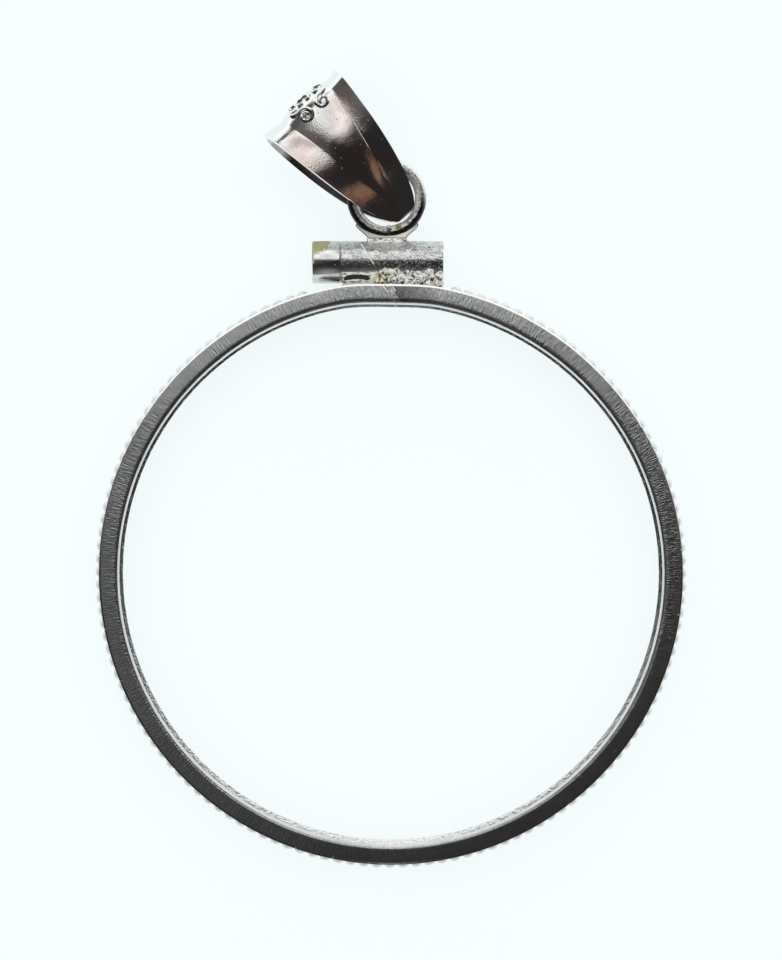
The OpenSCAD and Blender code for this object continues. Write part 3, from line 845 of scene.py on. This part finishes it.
        # Places beside the foot's middle and over its upper edge: the outer side, then the inner one
        side = [(1.3, 0.02), (1.36, 0.12), (1.55, 0.32), (1.78, 0.5), (1.98, 0.67), (2.15, 0.9)]
        side += [(2.05, 1.2), (1.75, 0.88), (1.2, 0.47), (0.6, 0.27)]
        rim = side + [(0, 0.2)] + [(-a, b) for a, b in reversed(side)]
        low, thick, thinning = MID_Z - 0.4, 0.85, 0.5  # its back, and how its thickness falls
        bm = bmesh.new()
        corners = [(self.foot_x + a, self.foot_top + b, low) for a, b in rim]
        face = bm.faces.new([bm.verts.new(corner) for corner in corners])
        for v in bmesh.ops.extrude_face_region(bm, geom=[face])["geom"]:
            if isinstance(v, bmesh.types.BMVert):
                v.co.z += thick - thinning * (v.co.y - self.foot_top)
        bmesh.ops.recalc_face_normals(bm, faces=bm.faces)
        eased(bm, 0.08)
        # Painted shade: faces that do not face up take the dark finish, which draws a dark outline round the
        # fillet
        for face in bm.faces:
            face.material_index = 0 if face.normal.z > 0.84 else 1
        piece(bm, "foot_fillet", FRAME, finishes)

    def beads(self, crumbs, film):
        """Beads of solder on the loop's inner side, beside its seam, one of them tarnished."""
        for name, finish, spots in (
            ("seam_beads", crumbs, ((-0.14, 23.5, 0.13), (0.03, 23.38, 0.1), (0.25, 23.42, 0.1))),
            ("tarnished_bead", film, ((0.53, 23.5, 0.2), (0.4, 23.44, 0.13))),
        ):
            bm = bmesh.new()
            for x, y, size in spots:
                place = Matrix.Translation((x, y, MID_Z + 0.34))
                bmesh.ops.create_icosphere(bm, subdivisions=3, radius=size, matrix=place)
            bumpy(bm, 0.12, 0.04, 5)
            piece(bm, name, FRAME, finish)


class BEZEL_OT_screw(bpy.types.Operator):
    """Builds the clamp screw with its plain slotted head"""

    bl_idname = "bezel.screw"
    bl_label = "Screw"

    root, crest, pitch, crests = 0.6, 0.77, 0.4, 10  # the thread's two radii, its pitch and its crests
    lead, spare = 0.1, 0.2  # plain length before the thread's first crest, and added to its run
    tip_inset = 0.6  # from the barrel's right end
    head_start = -3.5  # from which the head's length is measured
    slot_half, slot_depth, slot_turn = 0.2, 0.5, 5

    def execute(self, context):
        clamp, silver = context.scene.bezel_clamp, context.scene.bezel_silver
        radius, y, shank = clamp.barrel_radius / MM, clamp.barrel_y / MM, clamp.shank_radius / MM
        shoulder = (clamp.barrel_left - clamp.head_gap) / MM
        end, tip = self.head_start - clamp.head_length / MM, clamp.barrel_right / MM - self.tip_inset
        first = tip - self.spare - self.crests * self.pitch
        section = ((self.root, 0.02), (self.crest, 0.15), (self.crest, 0.2), (self.root, 0.33))
        starts = [first + self.lead + self.pitch * i for i in range(self.crests)]
        corners = [
            ((0.001, end), 0),
            ((radius, end), 0.1),
            ((radius, shoulder), 0.05),
            ((shank, shoulder), 0),
            ((shank, first), 0),
            *(((r, start + x), 0) for start in starts for r, x in section),
            ((0.5, tip), 0),
            ((0.001, tip), 0),
        ]
        bm = turned(rounded(corners), (0, y, MID_Z), (1, 0, 0), (0, 1, 0), 96)
        slot = box((end - 1, -2.4, -self.slot_half), (end + self.slot_depth, 2.4, self.slot_half))
        turn = Matrix.Translation((0, y, MID_Z)) @ Matrix.Rotation(math.radians(self.slot_turn), 4, "X")
        bmesh.ops.transform(slot, matrix=turn, verts=slot.verts)
        bm = worked(bm, "BOOLEAN", slot, operation="DIFFERENCE", solver="EXACT")
        for face in bm.faces:
            if face.normal.x > 0.9 and abs(face.calc_center_median().x - shoulder) < 0.01:
                face.material_index = 1
        finishes = (screw_silver(silver), grime("shoulder_grime", silver.soot))
        piece(bm, "slotted_screw", SCREW, finishes)
        return {"FINISHED"}


class BailShape:
    """Centre line and widths of the bail: fold, two bulging legs and closed tip are tangent arcs."""

    fold_r, tip_r, leg_r = 1.55, 0.42, 12.0
    taper, facet_taper = 0.35, 0.95  # powers by which the sheet and its middle facet narrow to the tip
    flare, fold_flare = 0.24, 0.65  # rise of the side edges, and the share of it at the fold
    crown, leg_crown = 0.4, 0.4  # rise of the middle facet, and the share of it on the legs
    facet_shift = 0.25  # how far the middle facet sits to the right
    tip_skew, tip_trim = 0.05, 0.25  # how far the tip sits to the right, and is cut in on its left
    reach_on, squash = 0.14, 0.35  # how far the tip runs on, and how blunt its end is
    bead = 0.018  # height of the crease's fine raised line
    rise, roll = -1.5, 5  # degrees that the bail is tipped and rolled by
    lift, tip_reach = 0.43, 1.85  # from the loop's centre: height over it, and distance to the tip

    def __init__(self, bail):
        self.length, self.half = bail.length / MM, bail.half_width / MM
        self.facet = bail.facet_half_width / MM
        self.fold_c, self.tip_c = Vector((self.length - self.fold_r, 0)), Vector((self.tip_r, 0))
        gap = self.fold_c.x - self.tip_c.x
        along = ((self.leg_r - self.tip_r) ** 2 - (self.leg_r - self.fold_r) ** 2 + gap * gap) / (2 * gap)
        drop = math.sqrt((self.leg_r - self.tip_r) ** 2 - along * along)
        self.leg_c = Vector((self.tip_c.x + along, -drop))
        self.fold_end = math.atan2(drop, self.fold_c.x - self.leg_c.x)
        self.leg_end = math.atan2(drop, self.tip_c.x - self.leg_c.x)
        self.parts = [self.fold_r * self.fold_end, self.leg_r * (self.leg_end - self.fold_end)]
        self.parts.append(self.tip_r * (math.pi - self.leg_end))
        self.place = (
            Matrix.Translation(Vector(LOOP_PLACE) + Vector((0, 0, self.lift)))
            @ Matrix.Rotation(math.radians(90 + BAIL_LEAN), 4, "Z")
            @ Matrix.Rotation(math.radians(self.rise), 4, "Y")
            @ Matrix.Rotation(math.radians(self.roll), 4, "X")
            @ Matrix.Translation((-self.tip_reach, 0, 0))
        )

    def station(self, distance):
        """Angle of the outward normal at a distance along the centre line from the middle of the fold."""
        side, d = math.copysign(1, distance), abs(distance)
        fold, leg, _ = self.parts
        if d <= fold:
            return side * d / self.fold_r
        if d <= fold + leg:
            return side * (self.fold_end + (d - fold) / self.leg_r)
        return side * min(math.pi, self.leg_end + (d - fold - leg) / self.tip_r)

    def point(self, station, across, offset=0.0):
        """A point of the outer face: across is 1 at the crease beside the middle facet and 2 at the rim."""
        q, side, p = abs(station), math.copysign(1, station), abs(across)
        if q <= self.fold_end:
            centre, radius = self.fold_c, self.fold_r
        elif q <= self.leg_end:
            centre, radius = self.leg_c, self.leg_r
        else:
            centre, radius = self.tip_c, self.tip_r
        share = max(0.004, min(1, (centre.x + radius * math.cos(q)) / self.length))
        half, crease = self.half * share**self.taper, self.facet * share**self.facet_taper
        fold_share, tip_share = max(0, math.cos(station)), (1 - share) ** 6
        if p <= 1:
            rise = self.crown * (self.leg_crown + (1 - self.leg_crown) * fold_share) * share * (1 - p * p)
        else:
            rise = self.flare * (1 + (self.fold_flare - 1) * fold_share) * share * (p - 1) ** 1.3
        reach = radius + rise + offset
        along = centre.x + reach * math.cos(station) - self.reach_on * tip_share
        if q > self.leg_end:
            along += (1 - self.squash) * reach * (math.cos(self.leg_end) - math.cos(q))
        v = math.copysign(p * crease if p <= 1 else crease + (p - 1) * (half - crease), across)
        v -= (self.tip_skew + self.tip_trim * max(0, v) / half) * tip_share
        v -= self.facet_shift * share * min(1, 2 - p)
        return self.place @ Vector((along, v, side * centre.y + reach * math.sin(station)))


class BEZEL_OT_bail(bpy.types.Operator):
    """Builds the folded bail and the raised scrolls on it"""

    bl_idname = "bezel.bail"
    bl_label = "Bail"

    steps = 160  # along the sheet
    across = (-2, -1.94, -1.7, -1.4, -1.15, -1.02, -1, -0.98, -0.85, -0.6, -0.3)
    across += (0, 0.3, 0.6, 0.85, 0.98, 1.02, 1.15, 1.4, 1.7, 1.94, 2)  # rows of the sheet
    thin, thin_run = 0.12, 1.6  # share of the thickness at the tip, and length over which it is ground
    half_steps = 40  # along half a scroll

    def execute(self, context):
        bail, silver = context.scene.bezel_bail, context.scene.bezel_silver
        shape, outside = BailShape(bail), bail_silver(silver)
        self.sheet(bail, shape, (outside, inner_silver(silver)))
        # Two S scrolls and an arch between them. Side and distance across, distance from the fold, half
        # length, first direction, turn, turn that tightens, and whether both halves turn the same way
        for name, across, down, run, start, bend, tighter, alike in (
            ("scroll_left", 0.85, 1.75, 3.3, 5, 330, 150, True),
            ("scroll_right", -1.08, 1.7, 3.3, 5, 330, 150, True),
            ("scroll_middle", 0.1, 0.9, 1.25, -40, -210, -40, False),
        ):
            line = self.line(run, start, bend, tighter, alike)
            self.scroll(context, name, shape, line, across, down, bail.scroll_wire, outside)
        return {"FINISHED"}

    def sheet(self, bail, shape, finishes):
        """The folded sheet, ground thin where its two ends meet at the tip."""
        total, rows = 2 * sum(shape.parts), len(self.across) - 1
        bm = bmesh.new()
        bmesh.ops.create_grid(bm, x_segments=self.steps, y_segments=rows, size=1)
        for v in bm.verts:
            # Place along the sheet from -0.5 to 0.5, with the fold at 0, and its row across
            share = round((v.co.x + 1) / 2 * self.steps) / self.steps - 0.5
            across = self.across[round((v.co.y + 1) / 2 * rows)]
            bead = shape.bead * min(1, max(0, 3 - 8 * abs(share))) if across == -1 else 0
            v.co = shape.point(shape.station(total * share), across, bead)
        bmesh.ops.remove_doubles(bm, verts=bm.verts, dist=1e-4)
        bmesh.ops.recalc_face_normals(bm, faces=bm.faces)
        end = shape.point(math.pi, 0)
        weights = [min(1, max(self.thin, (v.co - end).length / self.thin_run)) for v in bm.verts]
        obj = piece(bm, "folded_bail", BAIL, finishes, sharp=20)
        thickness = obj.vertex_groups.new(name="thickness")
        for i, weight in enumerate(weights):
            thickness.add([i], weight, "REPLACE")
        wall = obj.modifiers.new("wall", "SOLIDIFY")
        wall.thickness, wall.offset, wall.vertex_group = bail.wall, -1, "thickness"
        wall.material_offset = 1
        rim_round(obj, bail.edge_round, 3)

    def line(self, run, start, bend, tighter, alike):
        """Points of a scroll on the flat: two halves that curl from its middle."""
        halves = []
        for direction in (-1, 1):
            spot, half = Vector((0, 0)), []
            for i in range(self.half_steps):
                s = (i + 0.5) / self.half_steps
                turn = math.radians(start - bend * s - tighter * s**3)
                step = Vector((math.cos(turn), math.sin(turn)))
                if direction < 0:
                    step = -step if alike else Vector((-step.x, step.y))
                spot += run / self.half_steps * step
                half.append(spot.copy())
            halves.append(half)
        return halves[0][::-1] + [Vector((0, 0))] + halves[1]

    def scroll(self, context, name, shape, line, across, down, wire, finish):
        """A round line raised on the sheet, thickest at its middle."""
        side = math.copysign(1, across)
        curve = bpy.data.curves.new("scroll", "CURVE")
        curve.dimensions, curve.bevel_depth, curve.bevel_resolution = "3D", wire, 2
        curve.use_fill_caps = True
        spline = curve.splines.new("POLY")
        spline.points.add(len(line) - 1)
        for i, flat in enumerate(line):
            station = shape.station((down + flat.y) * shape.fold_r / (shape.fold_r + shape.crown))
            spot = shape.point(station, side * (abs(across) + flat.x) / shape.facet, 0.02) * MM
            spline.points[i].co = (*spot, 1)
            spline.points[i].radius = 0.75 + 0.5 * math.sin(math.pi * i / (len(line) - 1))
        loose = bpy.data.objects.new("scroll", curve)
        context.scene.collection.objects.link(loose)
        bm = bmesh.new()
        bm.from_mesh(loose.to_mesh())
        loose.to_mesh_clear()
        bpy.data.objects.remove(loose)
        bmesh.ops.scale(bm, vec=(1 / MM, 1 / MM, 1 / MM), verts=bm.verts)
        piece(bm, name, BAIL, finish)


class BEZEL_OT_stage(bpy.types.Operator):
    """Lays the pale floor and sets the surroundings, the light and the camera"""

    bl_idname = "bezel.stage"
    bl_label = "Stage"

    def execute(self, context):
        scene, stage = context.scene, context.scene.bezel_stage
        mesh = bpy.data.meshes.new("floor")
        bm = bmesh.new()
        bmesh.ops.create_grid(bm, x_segments=1, y_segments=1, size=stage.floor_size / 2)
        bm.to_mesh(mesh)
        bm.free()
        floor = bpy.data.objects.new("floor", mesh)
        scene.collection.objects.link(floor)
        mesh.materials.append(self.light_sheet(stage))

        self.surroundings(scene, stage)

        light = bpy.data.lights.new("fill", "SUN")
        light.energy, light.angle = stage.fill, math.radians(120)
        fill = bpy.data.objects.new("fill", light)
        fill.location = (0, 0, 0.5)
        fill.visible_glossy = False
        scene.collection.objects.link(fill)

        camera = bpy.data.objects.new("camera", bpy.data.cameras.new("camera"))
        camera.data.lens, camera.data.sensor_width = stage.lens, 36
        camera.data.clip_start, camera.data.clip_end = 0.01, 10
        camera.location = (0, stage.camera_y, stage.camera_height)
        scene.collection.objects.link(camera)
        scene.camera = camera
        scene.view_settings.view_transform = "Standard"
        return {"FINISHED"}

    def light_sheet(self, stage):
        """Matt white sheet lit from below, so that shadows on it stay faint."""
        paper = bpy.data.materials.new("pale_light_sheet")
        paper.use_nodes = True
        tree = paper.node_tree
        tree.nodes.clear()
        place = add(tree, "TexCoord").outputs["Object"]
        grain = add(tree, "TexNoise", {"Vector": place, "Scale": per_mm(1.5)})
        bump = add(tree, "Bump", {"Height": grain, "Distance": 0.01 * MM})
        shader = add(tree, "BsdfPrincipled", {"Normal": bump, "Roughness": 0.9, "Specular IOR Level": 0.0})
        shader.inputs["Base Color"].default_value = rgba(stage.sheet)
        shader.inputs["Emission Color"].default_value = rgba(stage.floor)
        shader.inputs["Emission Strength"].default_value = stage.glow
        add(tree, "OutputMaterial", {"Surface": shader})
        return paper

    def surroundings(self, scene, stage):
        """Pale walls all round, bright cards on a grey wall, and the dark ceiling that the silver mirrors."""
        world = bpy.data.worlds.new("studio")
        scene.world = world
        world.use_nodes = True
        tree = world.node_tree
        tree.nodes.clear()
        split = add(tree, "SeparateXYZ", {"Vector": add(tree, "TexCoord").outputs["Generated"]})
        height = add(tree, "Math", {0: split.outputs["Z"], 1: 0.02}, operation="MAXIMUM")
        wide = add(tree, "Math", {0: split.outputs["X"], 1: height}, operation="DIVIDE")
        tall = add(tree, "Math", {0: split.outputs["Y"], 1: height}, operation="DIVIDE")
        plane = add(tree, "CombineXYZ", {"X": wide, "Y": tall})
        # Ovals laid over one another on a plane one unit overhead: centre, half size, softness, colour
        light = grey(stage.walls)
        for centre, half, soft, shade in (
            ((0, -6.1), (14, 8), 0.05, grey(stage.back)),
            ((0, -6.0), (14, 6.35), 0.03, grey(stage.overhead)),
            ((-0.4, 0.12), (0.25, 0.4), 0.8, grey(stage.card / 8)),
            ((0.0, 0.65), (0.34, 0.42), 0.25, grey(stage.card)),
            ((0.0, 1.45), (0.2, 0.55), 0.3, grey(stage.card)),
            ((0.0, -2.4), (0.3, 1.5), 0.4, grey(stage.card / 4)),
            ((0.0, 0.6), (0.09, 0.32), 0.4, grey(stage.card * 0.56)),
            ((0.65, -0.08), (0.12, 0.22), 0.4, rgba(stage.glint)),
        ):
            own = {"Vector": plane, "Location": (*centre, 0), "Scale": (*half, 1)}
            own = add(tree, "Mapping", own, vector_type="TEXTURE")
            away = add(tree, "VectorMath", {0: own}, operation="LENGTH")
            edge = {"Value": away, "From Min": 1 + soft, "From Max": 1 - soft}
            share = add(tree, "MapRange", edge, **SMOOTH)
            light = add(tree, "Mix", {"Factor": share, "A": light, "B": shade}, data_type="RGBA")
        background = add(tree, "Background", {"Color": light, "Strength": 1.0})
        add(tree, "OutputWorld", {"Surface": background})


class BEZEL_PT_panel(bpy.types.Panel):
    """Lists the sizes, the colours and the pieces"""

    bl_idname = "BEZEL_PT_panel"
    bl_label = "Coin bezel pendant"
    bl_space_type = "VIEW_3D"
    bl_region_type = "UI"
    bl_category = "Bezel"

    def draw(self, context):
        for group, kind in GROUPS.items():
            column = self.layout.column()
            column.label(text=kind.__doc__.rstrip("."))
            for key in kind.__annotations__:
                column.prop(getattr(context.scene, group), key)
        for operator in OPERATORS:
            self.layout.operator(operator.bl_idname)


OPERATORS = (BEZEL_OT_ring, BEZEL_OT_clamp, BEZEL_OT_screw, BEZEL_OT_bail, BEZEL_OT_stage)
CLASSES = (*GROUPS.values(), *OPERATORS, BEZEL_PT_panel)


def register():
    for item in CLASSES:
        bpy.utils.register_class(item)
    for key, kind in GROUPS.items():
        setattr(bpy.types.Scene, key, bpy.props.PointerProperty(type=kind))


def unregister():
    for key in GROUPS:
        delattr(bpy.types.Scene, key)
    for item in reversed(CLASSES):
        bpy.utils.unregister_class(item)


def main():
    noise.seed_set(7)
    register()
    bpy.ops.bezel.ring()
    bpy.ops.bezel.clamp()
    bpy.ops.bezel.screw()
    bpy.ops.bezel.bail()
    bpy.ops.bezel.stage()
    bpy.context.view_layer.update()


if __name__ == "__main__":
    main()
